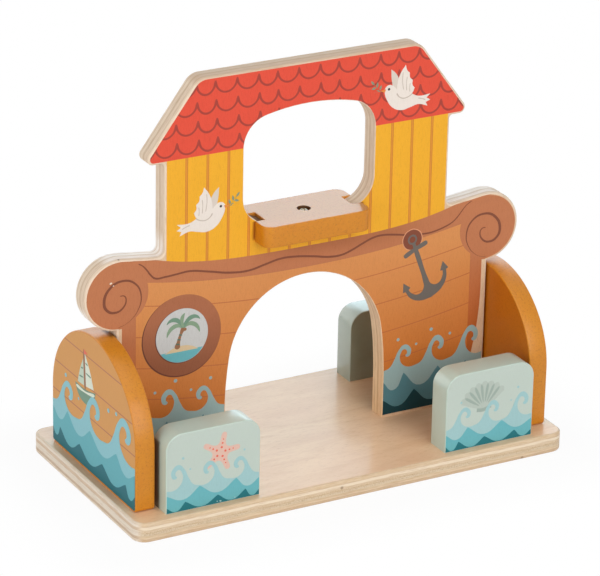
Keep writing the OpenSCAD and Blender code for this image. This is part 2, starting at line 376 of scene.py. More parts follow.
def ply_texture(finish, colour, axis):
    """The brown dashes and pale fibres of a sanded edge, and its relief. The axis is the one
    that crosses the layers."""
    along = [14.0, 14.0, 14.0]
    along[axis] = 0.7
    streaks = finish.noise(0.8, along, 3.0, 0.6)
    fibres = finish.noise(0.35, along, 2.0, 0.7)
    colour = finish.mix(streaks.above(0.58, 0.1) * 0.5, colour, EDGE_STREAKS)
    colour = finish.mix(fibres.above(0.55, 0.2) * 0.3, colour, EDGE_FIBRES)
    return colour, streaks + fibres * 0.5


def layer_depth(finish, place, far):
    """How deep a place lies in a board, as a share of it, with layers that wander a little."""
    return abs(place - far) / PANEL_T + (finish.noise(26, detail=2.0) - 0.5) * 0.08


def panel_edge_finish():
    """The ark panel's edges. They carry a painted highlight on the decks and under the scrolls, are darker
    on the ridge, and carry painted warm bounce light at the archway and painted shade in the slot at the
    shelf's left end. The left scroll has a small knot."""
    finish = Finish("panel_ply_edge")
    x = finish.x
    y = finish.y
    z = finish.z
    ax = abs(x)
    depth = layer_depth(finish, y, -PANEL_T / 2)
    colour = ply_colour(finish, PANEL_LAYERS, depth)
    colour, relief = ply_texture(finish, colour, Y_AXIS)
    deck = z.above(122, 7) * z.below(150, 6) * ax.above(86, 3) * ax.below(127, 4)
    under = z.above(100) * z.below(114, 4) * ax.above(126, 3)
    # Painted highlight: a cool sheen on the edges of the decks and under the scrolls
    pale = deck.most(under) * y.above(-4.4, 1.2)
    colour = finish.mix(pale * 0.85, colour, DECK_HIGHLIGHT_GAIN, "MULTIPLY")
    colour = finish.mix(z.above(240, 2) * 0.45, colour, RIDGE_TAN)
    # Painted warm bounce light on the edges in the archway
    arch = z.below(70, 60) * ax.below(56)
    colour = finish.mix(arch, colour, ARCH_BOUNCE_GAIN, "MULTIPLY")
    knot = finish.reach(finish.spot(x, y), -SCROLL_X, -5).below(0.55, 0.25) * z.above(140)
    colour = finish.mix(knot * 0.7, colour, SCROLL_KNOT)
    # Painted shade in the slot at the shelf's left end, where the edge is also made rough
    slot = z.above(148, 0.5) * z.below(152.1, 0.3) * ax.below(36, 0.5)
    colour = finish.mix(slot * x.below(0) * 0.9, colour, SLOT_SHADE)
    return finish.shade(colour, 0.62 + slot * 0.38, relief, 0.06, 0.35, Specular_IOR_Level=0.12)


def base_edge_finish():
    """The base's edges. The long ones have ticks of end grain in the core, and the front one
    has two dark knots."""
    finish = Finish("base_ply_edge")
    depth = layer_depth(finish, finish.z, BASE_TOP)
    long = ply_colour(finish, BASE_LONG_LAYERS, depth)
    end = ply_colour(finish, BASE_END_LAYERS, depth)
    at_end = (abs(finish.x) - abs(finish.y)).above(BASE_HALF_X - BASE_HALF_Y, 3)
    colour = finish.mix(at_end, long, end)
    colour, relief = ply_texture(finish, colour, Z_AXIS)
    ticks = finish.noise(0.5, (1.0, 1.0, 2.2)).above(0.56, 0.06)
    core = depth.above(0.42, 0.03) * depth.below(0.64, 0.03)
    colour = finish.mix(ticks * core * (1 - at_end) * 0.42, colour, EDGE_TICKS)
    spot = finish.spot(finish.x, finish.z)
    from_knot = finish.reach(spot, -10.5, 7.5).least(finish.reach(spot, 110.6, 1.0))
    knots = from_knot.below(0.9, 0.4) * finish.y.below(-60)
    colour = finish.mix(knots * 0.6, colour, EDGE_KNOTS)
    return finish.shade(colour, 0.55, relief, 0.06, 0.35)


def veneer_colour(finish, tone, along):
    """A birch face, with its grain drawn out along an axis, and its pores."""
    short = [1.0, 1.0, 1.0]
    short[along] = 6.0
    wide = [1.6, 1.6, 1.6]
    wide[along] = 8.0
    flame = finish.noise(5.0, wide, 4.0, 0.5, 0.8)
    pores = finish.noise(0.7, short, 2.0, 0.6)
    patch = finish.noise(24.0, (1.6, 1.0, 1.6), 2.0)
    colour = finish.mix(flame.above(0.54, 0.2) * 0.6, tone, BIRCH_FLAME)
    colour = finish.mix(patch.above(0.5, 0.25) * 0.5, colour, BIRCH_PATCH)
    colour = finish.mix(pores.above(0.62, 0.1) * 0.3, colour, BIRCH_PORES)
    return colour, pores


def clear_coat(weight, dull):
    """The sockets of a clear coat, by its weight and how dull it is."""
    return {"Coat_Weight": weight, "Coat_Roughness": dull, "Coat_IOR": 1.5}


def base_top_finish():
    """The base's faces: birch under a smooth clear varnish, with painted shade in the bays beside the
    hull, and browner a little at the long rims."""
    finish = Finish("varnished_birch")
    colour, pores = veneer_colour(finish, BIRCH, X_AXIS)
    # Painted shade in the bays between the hull and the wave blocks
    bay = abs(finish.x).above(58, 16) * abs(finish.y).below(40, 14)
    colour = finish.mix(bay * 0.65, colour, BAY_SHADE)
    rim = abs(finish.y).above(48, 20)
    colour = finish.mix(rim * 0.25, colour, RIM_BROWN)
    return finish.shade(colour, 0.5 + pores * 0.1, pores, 0.02, 0.15, **clear_coat(0.44, 0.19))


# Print

def ink_texture(finish, colour, depth):
    """The fine mottle of ink on sanded wood with short upright fibres, and its relief."""
    mottle = finish.noise(0.6, detail=3.0, rough=0.65)
    fibre = finish.noise(0.45, (1.0, 1.0, 7.0), 2.0, 0.6)
    colour = finish.mix(mottle.above(0.5, 0.3) * 0.10 * depth, colour, INK_MOTTLE, "MULTIPLY")
    colour = finish.mix(fibre.above(0.6, 0.14) * 0.09 * depth, colour, INK_FIBRES, "MULTIPLY")
    return colour, mottle + fibre * 0.5


def paint_roof(finish, x, z):
    """Rows of scalloped tiles. Every third tile is a little narrower."""
    row_h = 11.05
    first_row = 240.2
    first_tile = 60.7
    slip = 0.6
    wide = 13.6
    three = 39.1
    narrow = three - 2 * wide
    tile_h = 7.5
    depth = first_row - z
    row = (depth / row_h).math("FLOOR")
    drop = depth - row * row_h
    run = (x + first_tile - row * slip).wrap(0, three)
    last = run.above(2 * wide, 0.01)
    near = run.wrap(0, wide) - wide / 2
    far = run - (2 * wide + narrow / 2)
    side = near + (far - near) * last
    half = wide / 2 - last * (wide - narrow) / 2
    share = side / half
    hang = drop / tile_h
    gap = abs((share * share + hang * hang).math("SQRT") - 1.0) * half
    stem = (1 - hang).most(0)
    point = (1 - drop / 1.6).most(0)
    line = (gap - stem * stem * 0.5 + point * 0.55).below(0.5, 0.2) * drop.below(8.5, 0.3)
    return finish.mix(line, ROOF_RED, ROOF_LINE)


def paint_cabin(finish, x):
    """Upright planks with a double line at each joint."""
    pitch = 13.2
    off = (x - 0.95).wrap(-pitch / 2, pitch / 2)
    tone = finish.mix(abs(off).above(0.45, 0.15), CABIN_LIGHT, CABIN_DARK)
    return finish.mix(abs(off).below(0.82, 0.16), CABIN_YELLOW, tone)


def paint_hull(finish, x, z, from_scroll):
    """Orange planks inside brown side strips, gunwale and scrolls. The planks darken towards the foot as
    painted shade, and the gunwale carries a painted shadow of the shelf.
    """
    ax = abs(x)
    pitch = 19.2
    # Painted shade: the planks darken towards the foot, where the blocks and end panels shade them
    planks = finish.mix(z.rise(40, 120), HULL_FOOT_SHADE, HULL_TOP)
    seam = abs((z - ax * ax * 0.00089 - 103.1).wrap(-pitch / 2, pitch / 2))
    planks = finish.mix(seam.below(0.3, 0.2) * 0.8, planks, HULL_LINE)
    brown = finish.mix(z.rise(58, 106), STRIP_BROWN, GUNWALE_BROWN)
    # Painted shadow of the shelf on the upper gunwale
    brown = finish.mix(z.above(125, 6) * abs(x - 22).below(44, 22), brown, GUNWALE_SHELF_SHADOW)
    field = (118.2 + 8.6 * (ax / 103) ** 2.2 - z).above(0)
    field = field * ax.below(109.6) * from_scroll.above(SCROLL_DISC)
    return finish.mix(field, brown, planks)


def paint_porthole(finish, x, z, colour):
    """A brown ring with dark lines round a pale glass: circles of (across, up, radius, tone)."""
    ring = finish.mix(z.rise(72, 102), RING_FOOT, RING_BROWN)
    circles = [
        (-80.9, 90.1, 25.1, RING_LINE),
        (-80.5, 90.5, 24.8, ring),
        (-80.8, 90.2, 16.8, RING_LINE),
        (-80.5, 90.4, 16.5, PORT_GLASS),
    ]
    spot = finish.spot(x, z)
    for across, up, radius, tone in circles:
        colour = finish.mix(finish.reach(spot, across, up).below(radius), colour, tone)
    return colour


def ark_print_finish():
    """The printed faces of the ark: roof, cabin, hull and porthole. Painted shadow darkens the cabin
    beside each end of the shelf. The wood is bare at the foot and along parts of the outline."""
    finish = Finish("ark_print")
    x = finish.x
    z = finish.z
    ax = abs(x)
    from_scroll = finish.reach(finish.spot(ax, z), SCROLL_X, SCROLL_Z)
    bare, _ = veneer_colour(finish, BARE_WOOD, Z_AXIS)
    foot = (85 - z).most(0)
    inside = (118 - foot * foot * 0.0028 - abs(x + 0.4)).above(0)
    scroll = from_scroll.below(SCROLL_INK).most(z.above(SCROLL_Z))
    rim = from_scroll.above(SCROLL_RIM) * x.above(SCROLL_X + 3, 3)
    above_deck = (z - (131.2 + 6.6 * (ax / 90.8) ** 3.4)).above(0)
    inked = inside.most(scroll) * z.above(PRINT_FOOT) * (1 - rim)
    inked = inked * (1 - above_deck * ax.above(CABIN_HALF))
    colour = paint_hull(finish, x, z, from_scroll)
    colour = paint_porthole(finish, x, z, colour)
    colour = finish.mix(above_deck * ax.below(CABIN_HALF), colour, paint_cabin(finish, x))
    # Painted shadow on the cabin beside each end of the shelf
    nook = ax.below(35.9, 1.1) * z.above(140.8, 1.2) * z.below(152, 0.5)
    colour = finish.mix(nook * 0.9, colour, SHELF_NOOK_SHADOW)
    colour = finish.mix(inked, bare, colour)
    colour = finish.mix(z.above(EAVE_Z), colour, paint_roof(finish, x, z))
    colour, relief = ink_texture(finish, colour, 1.25)
    return finish.shade(colour, 0.5, relief, 0.05, 0.25, Specular_IOR_Level=0.3)


def end_print_finish():
    """The outer face of an end panel: tan planks over a mustard foot."""
    finish = Finish("end_panel_print")
    z = finish.z
    pitch = 18.4
    seam = abs((z - 46.5 + finish.y * 0.004).wrap(-pitch / 2, pitch / 2))
    colour = finish.mix(seam.below(0.3, 0.18), PLANK_TAN, PLANK_LINE)
    colour = finish.mix(z.below(END_SEA["foot"]), colour, MUSTARD)
    colour, relief = ink_texture(finish, colour, 0.6)
    return finish.shade(colour, 0.42, relief, 0.05, 0.12, Specular_IOR_Level=0.3)


def block_print_finish():
    """The outer face of a wave block: a pale mint ground."""
    finish = Finish("wave_block_print")
    colour, relief = ink_texture(finish, MINT, 0.35)
    return finish.shade(colour, 0.42, relief, 0.05, 0.08)


def ink_finish(name, colour):
    """One ink of the stamped shapes."""
    finish = Finish(name)
    shown, relief = ink_texture(finish, colour, 0.6)
    return finish.shade(shown, 0.48, relief, 0.05, 0.12, Specular_IOR_Level=0.3)


# Paint

def mustard_finish(name, tone, coat, dull, bore=False):
    """Satin mustard paint over fibre board, with the fibres showing as specks. The coat is more or less
    dull. A bore in the middle of the board may be given painted shade. The left end panel carries painted
    shadow under the scroll, where the coat is taken away."""
    finish = Finish(name)
    specks = finish.noise(1.1, detail=2.0, rough=0.7)
    cloud = finish.noise(16, detail=2.0)
    grain = finish.noise(2.4, detail=3.0, rough=0.6)
    colour = finish.mix(cloud.above(0.5, 0.3) * 0.35, tone, MUSTARD_CLOUD)
    colour = finish.mix(grain.above(0.52, 0.2) * 0.34, colour, MUSTARD_GRAIN)
    colour = finish.mix(specks.above(0.60, 0.08) * 0.5, colour, MUSTARD_SPECKS)
    # Painted shade inside the round recess of the shelf
    if bore:
        wall = finish.reach(finish.spot(finish.x, finish.y), 0, 0).below(5.2, 0.2)
        colour = finish.mix(wall, colour, BORE_SHADE)
    # Painted shadow on the left end panel under the scroll, with no coat there
    nook = finish.z.above(95) * abs(finish.y).below(6, 2.5) * abs(finish.x + SCROLL_X).below(5.5, 1.5)
    colour = finish.mix(nook * 0.8, colour, SCROLL_SHADOW)
    fixed = {**clear_coat((1 - nook) * coat, dull), "Specular_IOR_Level": 0.3}
    return finish.shade(colour, 0.45 + specks * 0.15, specks, 0.03, 0.2, **fixed)


def sage_finish(name, tone):
    """Satin pale green paint on the wave blocks, with painted shade deep in the gaps at the ends and at
    the foot of the rear blocks."""
    finish = Finish(name)
    specks = finish.noise(0.6, detail=2.0, rough=0.7)
    cloud = finish.noise(14, detail=2.0)
    colour = finish.mix(cloud.above(0.5, 0.3) * 0.4, tone, SAGE_CLOUD)
    colour = finish.mix(specks.above(0.68, 0.05) * 0.3, colour, SAGE_SPECKS)
    # Painted shade deep in the narrow gaps between the blocks and the end panels
    gap = abs(finish.x).above(119.3, 0.3) * abs(finish.y).below(56.5, 1.5)
    colour = finish.mix(gap * 0.8, colour, GAP_SHADE)
    # Painted shade towards the foot of the rear blocks
    foot = finish.z.below(36, 46) * finish.y.above(40)
    colour = finish.mix(foot * 0.5, colour, SAGE_FOOT_SHADE)
    return finish.shade(colour, 0.45 + specks * 0.15, specks, 0.03, 0.2, **clear_coat(0.9, 0.2))


def zinc_finish():
    """Zinc-plated steel with a brushed bloom."""
    finish = Finish("zinc_plate")
    bloom = finish.noise(0.8, detail=3.0, rough=0.6)
    colour = finish.mix(bloom, ZINC_DARK, ZINC_LIGHT)
    return finish.shade(colour, 0.28 + bloom * 0.2, bloom, 0.02, 0.2, Metallic=1.0)


def dowel_finish():
    """Plain beech, with short dark flecks along x."""
    finish = Finish("beech_dowel")
    flecks = finish.noise(0.4, (7.0, 1.0, 1.0), 2.0, 0.6)
    colour = finish.mix(flecks.above(0.6, 0.1) * 0.6, BEECH, BEECH_FLECKS)
    return finish.shade(colour, 0.6, flecks, 0.03, 0.3)


# Boards

# Points of a board's mesh that are this close are merged, in millimetres. Faces that turn less
# than this are joined, in radians. The shading breaks where they turn more, in degrees.
WELD = 0.001
FLAT_TURN = 0.008
SHARP_TURN = 40


def add_piece(name, mesh, slot, *nodes):
    """Adds a finished mesh to the part. It may stand for CAD nodes."""
    piece = bpy.data.objects.new(name, mesh)
    bpy.context.scene.collection.objects.link(piece)
    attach(piece, "root")
    if nodes:
        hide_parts(*nodes)


def lies_on(face, axis, level):
    """Whether a face is square to the axis and at this level on it."""
    return abs(face.normal[axis]) > 0.999 and abs(face.calc_center_median()[axis] - level) < 0.01 * MM


def board(node, slot, axis, round_at, finishes):
    """A CAD board with the rims of its two faces rounded over.

    The axis is the one that its faces look along. The radius of a rim depends on its place.
    The finishes are for the edges, and for the faces at the low and the high end of the axis."""
    low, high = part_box(node)
    shape = bmesh.new()
    shape.from_mesh(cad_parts[node].data)
    bmesh.ops.remove_doubles(shape, verts=shape.verts, dist=WELD * MM)
    bmesh.ops.dissolve_limit(shape, angle_limit=FLAT_TURN, verts=shape.verts, edges=shape.edges)
    rims = {}
    for edge in shape.edges:
        flat = [lies_on(f, axis, low[axis]) or lies_on(f, axis, high[axis]) for f in edge.link_faces]
        middle = (edge.verts[0].co + edge.verts[1].co) / 2
        radius = round_at(middle / MM)
        if sum(flat) == 1 and radius > 0:
            rims.setdefault(radius, []).append(edge)
    for radius, edges in rims.items():
        bmesh.ops.bevel(
            shape, geom=edges, offset=radius * MM, offset_type="OFFSET", affect="EDGES",
            segments=4, profile=0.5, material=-1, clamp_overlap=False,
        )
    for edge in shape.edges:
        edge.smooth = edge.calc_face_angle(0) < math.radians(SHARP_TURN)
    for face in shape.faces:
        face.smooth = True
        face.material_index = 0
        for index, level in ((1, low[axis]), (2, high[axis])):
            if lies_on(face, axis, level):
                face.material_index = index
                for edge in face.edges:
                    edge.smooth = False
    mesh = bpy.data.meshes.new(node)
    shape.to_mesh(mesh)
    shape.free()
    for material in finishes:
        mesh.materials.append(material)
    add_piece(node + "_dressed", mesh, slot, node)


def ark_round(spot):
    """Wide round the outline, crisp at the archway and the window, none at the foot."""
    if spot.z < BASE_TOP + 0.01:
        return 0
    return OPENING_ROUND if abs(spot.x) < 60 and spot.z < 225 else OUTLINE_ROUND


def base_round(spot):
    """Round the outline only: the rims further in belong to screw holes."""
    corner = 8.5
    further_in = abs(spot.x) < BASE_HALF_X - corner and abs(spot.y) < BASE_HALF_Y - corner
    return 0 if further_in else BASE_ROUND


def shelf_round(spot):
    """Not at the rim of the round recess."""
    return 0 if math.hypot(spot.x, spot.y) < 5 else SHELF_ROUND


def end_round(spot):
    return 0 if spot.z < BASE_TOP + 0.01 else END_ROUND


def block_round(spot):
    return 0 if spot.z < BASE_TOP + 0.01 else BLOCK_ROUND


# Stamped shapes. A shape is a list of loops of (across, up) points in millimetres.

def circle(across, up, radius):
    turns = [math.pi * step / 4 for step in range(8)]
    return [(across + radius * math.cos(turn), up + radius * math.sin(turn)) for turn in turns]


def stroke(line):
    """The outline of a brush line along points of (across, up, half its width)."""
    left = []
    right = []
    for index, (across, up, half) in enumerate(line):
        before = Vector(line[max(index - 1, 0)][:2])
        after = Vector(line[min(index + 1, len(line) - 1)][:2])
        side = (after - before).orthogonal().normalized() * half
        left.append((across + side.x, up + side.y))
        right.append((across - side.x, up - side.y))
    return left + right[::-1]


def leaf(across, up, turn, length, width):
    """A leaf with a pointed foot and tip, turned in degrees from the right."""
    ahead = Vector((math.cos(math.radians(turn)), math.sin(math.radians(turn))))
    side = ahead.orthogonal() * width / 2
    foot = Vector((across, up))
    waist = foot + ahead * length * 0.45
    tip = foot + ahead * length
    return [(*foot, CORNER), tuple(waist + side), (*tip, CORNER), tuple(waist - side)]


def arc_line(across, up, radius, turns, halves):
    """Points of a brush line along a circle, one for each turn in degrees."""
    line = []
    for turn, half in zip(turns, halves):
        angle = math.radians(turn)
        line.append((across + radius * math.cos(angle), up + radius * math.sin(angle), half))
    return line


def ink_solid(loops, top, place, ink):
    """One layer of ink: a thin solid from just under the face to its top."""
    curve = bpy.data.curves.new("ink", "CURVE")
    curve.dimensions = "2D"
    curve.fill_mode = "BOTH"
    curve.extrude = (top + INK_SUNK) / 2
    curve.resolution_u = 6
    for loop in loops:
        spline = curve.splines.new("BEZIER")
        spline.bezier_points.add(len(loop) - 1)
        spline.use_cyclic_u = True
        for point, (across, up, *corner) in zip(spline.bezier_points, loop):
            point.co = (across, up, 0)
            point.handle_left_type = "VECTOR" if corner else "AUTO"
            point.handle_right_type = "VECTOR" if corner else "AUTO"
    drawn = bpy.data.objects.new("ink", curve)
    bpy.context.scene.collection.objects.link(drawn)
    ready = drawn.evaluated_get(bpy.context.evaluated_depsgraph_get())
    mesh = bpy.data.meshes.new_from_object(ready)
    bpy.data.objects.remove(drawn)
    bpy.data.curves.remove(curve)
    shape = bmesh.new()
    shape.from_mesh(mesh)
    bmesh.ops.remove_doubles(shape, verts=shape.verts, dist=INK_WELD)
    lift = Matrix.Translation((0, 0, (top - INK_SUNK) / 2))
    bmesh.ops.transform(shape, matrix=place @ lift, verts=shape.verts)
    bmesh.ops.recalc_face_normals(shape, faces=shape.faces)
    for face in shape.faces:
        face.material_index = ink
        face.smooth = False
    shape.to_mesh(mesh)
    shape.free()
    return mesh


def stamp(name, slot, prints):
    """A piece of thin ink on a face. Each print is a place, the number of layers that may lie
    under it, and its own layers of (ink, loops)."""
    shape = bmesh.new()
    inks = []
    for place, under, layers in prints:
        for step, (ink, loops) in enumerate(layers, under):
            if ink not in inks:
                inks.append(ink)
            layer = ink_solid(loops, INK_STEP * (step + 1), place, inks.index(ink))
            shape.from_mesh(layer)
            bpy.data.meshes.remove(layer)
    mesh = bpy.data.meshes.new(name)
    shape.to_mesh(mesh)
    shape.free()
    for ink in inks:
        mesh.materials.append(ink)
    add_piece(name, mesh, slot)


def on_face(origin, across, out):
    """The place of a print whose up is +Z, from a point of the face and two of its axes."""
    turned = Matrix((Vector(across), Vector((0, 0, 1)), Vector(out))).transposed().to_4x4()
    return Matrix.Scale(MM, 4) @ Matrix.Translation(origin) @ turned


def at(across, up, turn=0, size=1, flip=False):
    """A place on a face, turned in degrees, resized, and looking the other way if flipped."""
    mirror = Matrix.Diagonal((-size if flip else size, size, 1, 1))
    spin = Matrix.Rotation(math.radians(turn), 4, "Z")
    return Matrix.Translation((across, up, 0)) @ spin @ mirror


# Motifs

# One running wave from trough to trough, as shares of its length and height
CURL = [
    (0.00, 0.00), (0.18, 0.09), (0.33, 0.40), (0.46, 0.78), (0.64, 1.00), (0.82, 0.87),
    (0.87, 0.62), (0.78, 0.44), (0.69, 0.50), (0.74, 0.60), (0.71, 0.75), (0.62, 0.79),
    (0.54, 0.66), (0.51, 0.40), (0.61, 0.12), (0.80, -0.02),
]

# Seas: the side and foot edges, the level of the curls' troughs with each curl's length and
# height, two swells with their trough, rise and crests, and drops of spray
HULL_SEA = {
    "left": 52.9, "right": 120.1, "foot": PRINT_FOOT, "trim": 0.05,
    "level": 42.0, "curls": [(21.0, 14.5), (22.5, 16.5), (23.7, 18.5)],
    "middle": (28.5, 10.0, [66.5, 90.0, 109.0]), "low": (17.5, 9.0, [74.0, 98.0]),
    "drops": [(62.0, 60.5, 1.0), (74.5, 55.5, 0.8), (84.5, 63.0, 1.1), (97.5, 58.0, 0.9)],
}
END_SEA = {
    "left": -53.7, "right": 53.7, "foot": 13.1, "trim": 0.9,
    "level": 39.0, "curls": [(31.0, 18.5), (36.0, 22.0), (40.4, 25.0)],
    "middle": (29.5, 9.0, [-34.0, -4.0, 30.0]), "low": (17.5, 7.0, [-44.0, -18.0, 12.0, 42.0]),
    "drops": [(-36.0, 60.5, 1.2), (-19.0, 52.5, 0.9), (20.0, 61.0, 1.3), (30.0, 63.0, 1.2)],
}
BLOCK_SEA = {
    "left": -29.05, "right": 29.05, "foot": 12.2, "trim": 0.05,
    "level": 26.0, "curls": [(18.6, 12.5), (19.2, 13.5), (20.3, 15.0)],
    "middle": (19.0, 6.5, [-14.5, 8.5]), "low": (12.5, 5.0, [-20.5, -3.0, 17.5]),
    "drops": [(-19.5, 42.0, 0.7), (14.5, 37.0, 0.6), (19.0, 44.5, 0.8)],
}


def water(area, top):
    """Fills an area from its foot up to a line of points."""
    left = area["left"]
    right = area["right"]
    foot = area["foot"]
    trim = area["trim"]
    start = [(left + trim, foot, CORNER), (left, foot + trim, CORNER)]
    end = [(right, foot + trim, CORNER), (right - trim, foot, CORNER)]
    return start + top + end


def running_curls(area):
    """Curling crests one after another, each with a length and a height."""
    level = area["level"]
    across = area["left"]
    top = []
    for length, height in area["curls"]:
        top += [(across + length * u, level + height * v) for u, v in CURL]
        across += length
    top[0] = (area["left"], level, CORNER)
    return top + [(area["right"], level, CORNER)]


def swell(area, trough, rise, crests):
    """Water that hangs in arcs between pointed crests."""
    stops = [area["left"], *crests, area["right"]]
    top = [(area["left"], trough + rise * 0.6, CORNER)]
    for before, after in zip(stops, stops[1:]):
        top.append(((before + after) / 2, trough))
        top.append((after, trough + rise, CORNER))
    top[-1] = (area["right"], trough + rise * 0.6, CORNER)
    return top


def sea(area, inks):
    """Three layers of water: curling crests behind two plainer swells."""
    light = [water(area, running_curls(area))]
    light += [circle(*drop) for drop in area["drops"]]
    middle = [water(area, swell(area, *area["middle"]))]
    low = [water(area, swell(area, *area["low"]))]
    return list(zip(inks, (light, middle, low)))


def volute(ink):
    """The spiral on a scroll: half circles that shrink from one to the next."""
    level = 119.0
    line = arc_line(122.8, level, 16.5, (262, 248, 232, 206), (0.06, 0.09, 0.13, 0.26))
    line += arc_line(117.85, level, 11.55, (180, 135, 90, 45), (0.4, 0.55, 0.68, 0.8))
    line += arc_line(122.55, level, 6.85, (0, -45, -90, -135), (0.9, 0.8, 0.68, 0.55))
    line += arc_line(118.5, level, 2.8, (180, 125, 70), (0.42, 0.34, 0.12))
    return [(ink, [stroke(line)])]


GUNWALE_LINE = [
    (-108.0, 139.0, 0.14), (-105.5, 137.4, 0.34), (-102.7, 134.2, 0.45), (-100.3, 130.8, 0.52),
    (-97.5, 128.4, 0.57), (-91.5, 128.2, 0.57), (-84.0, 128.6, 0.57), (-76.0, 129.0, 0.60),
    (-64.0, 126.6, 0.62), (-50.0, 123.4, 0.64), (-38.0, 122.6, 0.64), (-28.0, 124.4, 0.64),
    (-18.0, 126.2, 0.64), (-9.0, 125.9, 0.64), (4.0, 123.8, 0.64), (14.6, 121.6, 0.64),
    (22.7, 121.5, 0.64), (29.4, 123.4, 0.64), (36.1, 126.1, 0.64), (42.8, 128.4, 0.64),
    (48.3, 129.0, 0.62), (58.7, 127.6, 0.60), (66.5, 126.0, 0.58), (76.1, 125.0, 0.54),
    (81.1, 124.9, 0.52), (86.7, 125.7, 0.50), (92.3, 127.2, 0.46), (96.2, 128.8, 0.42),
    (99.5, 131.4, 0.38), (102.7, 135.0, 0.34), (105.4, 137.9, 0.26), (109.0, 140.0, 0.12),
]


def dove(inks):
    """A white dove in flight with a sprig in its beak, looking to the right."""
    far_wing = [(6.2, 2.6), (9.6, 8.4), (11.4, 16.0, CORNER), (7.6, 13.4), (4.6, 9.0), (3.0, 3.6)]
    body = [
        (13.6, 4.2), (11.2, 6.3), (8.0, 5.6), (4.5, 3.2), (0.0, 2.4), (-5.5, 0.8), (-10.5, -0.6),
        (-18.5, 0.8, CORNER), (-16.2, -1.7, CORNER), (-19.2, -3.0, CORNER), (-16.2, -4.5, CORNER),
        (-17.8, -6.8, CORNER), (-11.0, -5.8), (-6.0, -7.6), (0.0, -9.4), (6.4, -7.8), (11.2, -3.0),
        (13.4, 1.2),
    ]
    wing = [
        (4.6, 1.4), (5.6, 7.0), (4.6, 13.2), (1.8, 18.8, CORNER), (0.2, 15.4), (-1.8, 13.9, CORNER),
        (-2.5, 11.0), (-4.7, 9.4, CORNER), (-4.9, 6.6), (-6.8, 4.6, CORNER), (-5.6, 1.2),
        (-1.2, -1.4), (2.6, -0.8),
    ]
    fold = [(5.0, 1.0, 0.2), (2.8, -1.2, 0.3), (-1.2, -1.9, 0.3), (-5.9, 0.9, 0.2)]
    feathers = [
        stroke([(2.9, 14.2, 0.10), (2.4, 9.0, 0.20), (0.8, 3.4, 0.10)]),
        stroke([(-0.4, 11.4, 0.10), (-0.6, 7.4, 0.20), (-1.6, 2.8, 0.10)]),
        stroke([(-3.2, 7.4, 0.10), (-3.3, 4.8, 0.18), (-3.9, 2.0, 0.10)]),
        stroke([(-10.4, -2.0, 0.10), (-13.0, -2.3, 0.20), (-15.6, -3.0, 0.10)]),
    ]
    beak = [(13.0, 3.7, CORNER), (16.8, 2.6, CORNER), (13.4, 1.7, CORNER)]
    eye = circle(10.9, 3.7, 0.8)
    stem = stroke([(15.4, 2.4, 0.2), (18.4, 3.6, 0.26), (21.8, 6.6, 0.2)])
    leaves = [
        leaf(17.2, 3.0, 100, 3.6, 1.4), leaf(17.8, 3.3, -35, 3.4, 1.3), leaf(19.4, 4.4, 90, 3.8, 1.4),
        leaf(19.8, 4.8, -20, 3.6, 1.4), leaf(21.5, 6.3, 45, 3.8, 1.4),
    ]
    return [
        (inks["dove_shade"], [far_wing]),
        (inks["dove"], [body]),
        (inks["dove_line"], [stroke(fold)]),
        (inks["dove"], [wing]),
        (inks["dove_line"], feathers),
        (inks["sprig"], [stem] + leaves),
        (inks["beak"], [beak]),
        (inks["dark"], [eye]),
    ]


def anchor(inks):
    """An anchor below its hawse hole. The origin is the foot of its crown."""
    half = [
        (-1.5, 31.0), (-1.8, 12.0), (-2.8, 7.4), (-6.8, 5.4), (-11.0, 8.4), (-12.2, 11.4, CORNER),
        (-10.6, 12.2, CORNER), (-14.0, 17.2, CORNER), (-16.2, 11.4, CORNER), (-14.5, 11.2, CORNER),
        (-12.9, 6.0), (-7.8, 1.2),
    ]
    other = [(-across, up, *corner) for across, up, *corner in half[::-1]]
    body = half + [(0, -0.8, CORNER)] + other + [(1.0, 37.9, CORNER), (-1.0, 37.9, CORNER)]
    bar = [(-8.2, 32.6, 1.0), (-7.4, 32.8, 1.4), (0, 33.8, 1.3), (7.4, 34.2, 1.4), (8.2, 34.3, 1.0)]
    ring = [circle(0, 40.5, 3.1), circle(0, 40.5, 2.0)]
    return [
        (inks["hawse_rim"], [circle(0, 40.5, 6.8)]),
        (inks["hawse"], [circle(0, 40.5, 6.2)]),
        (inks["iron"], [body]),
        (inks["iron"], [stroke(bar)]),
        (inks["iron"], ring),
    ]


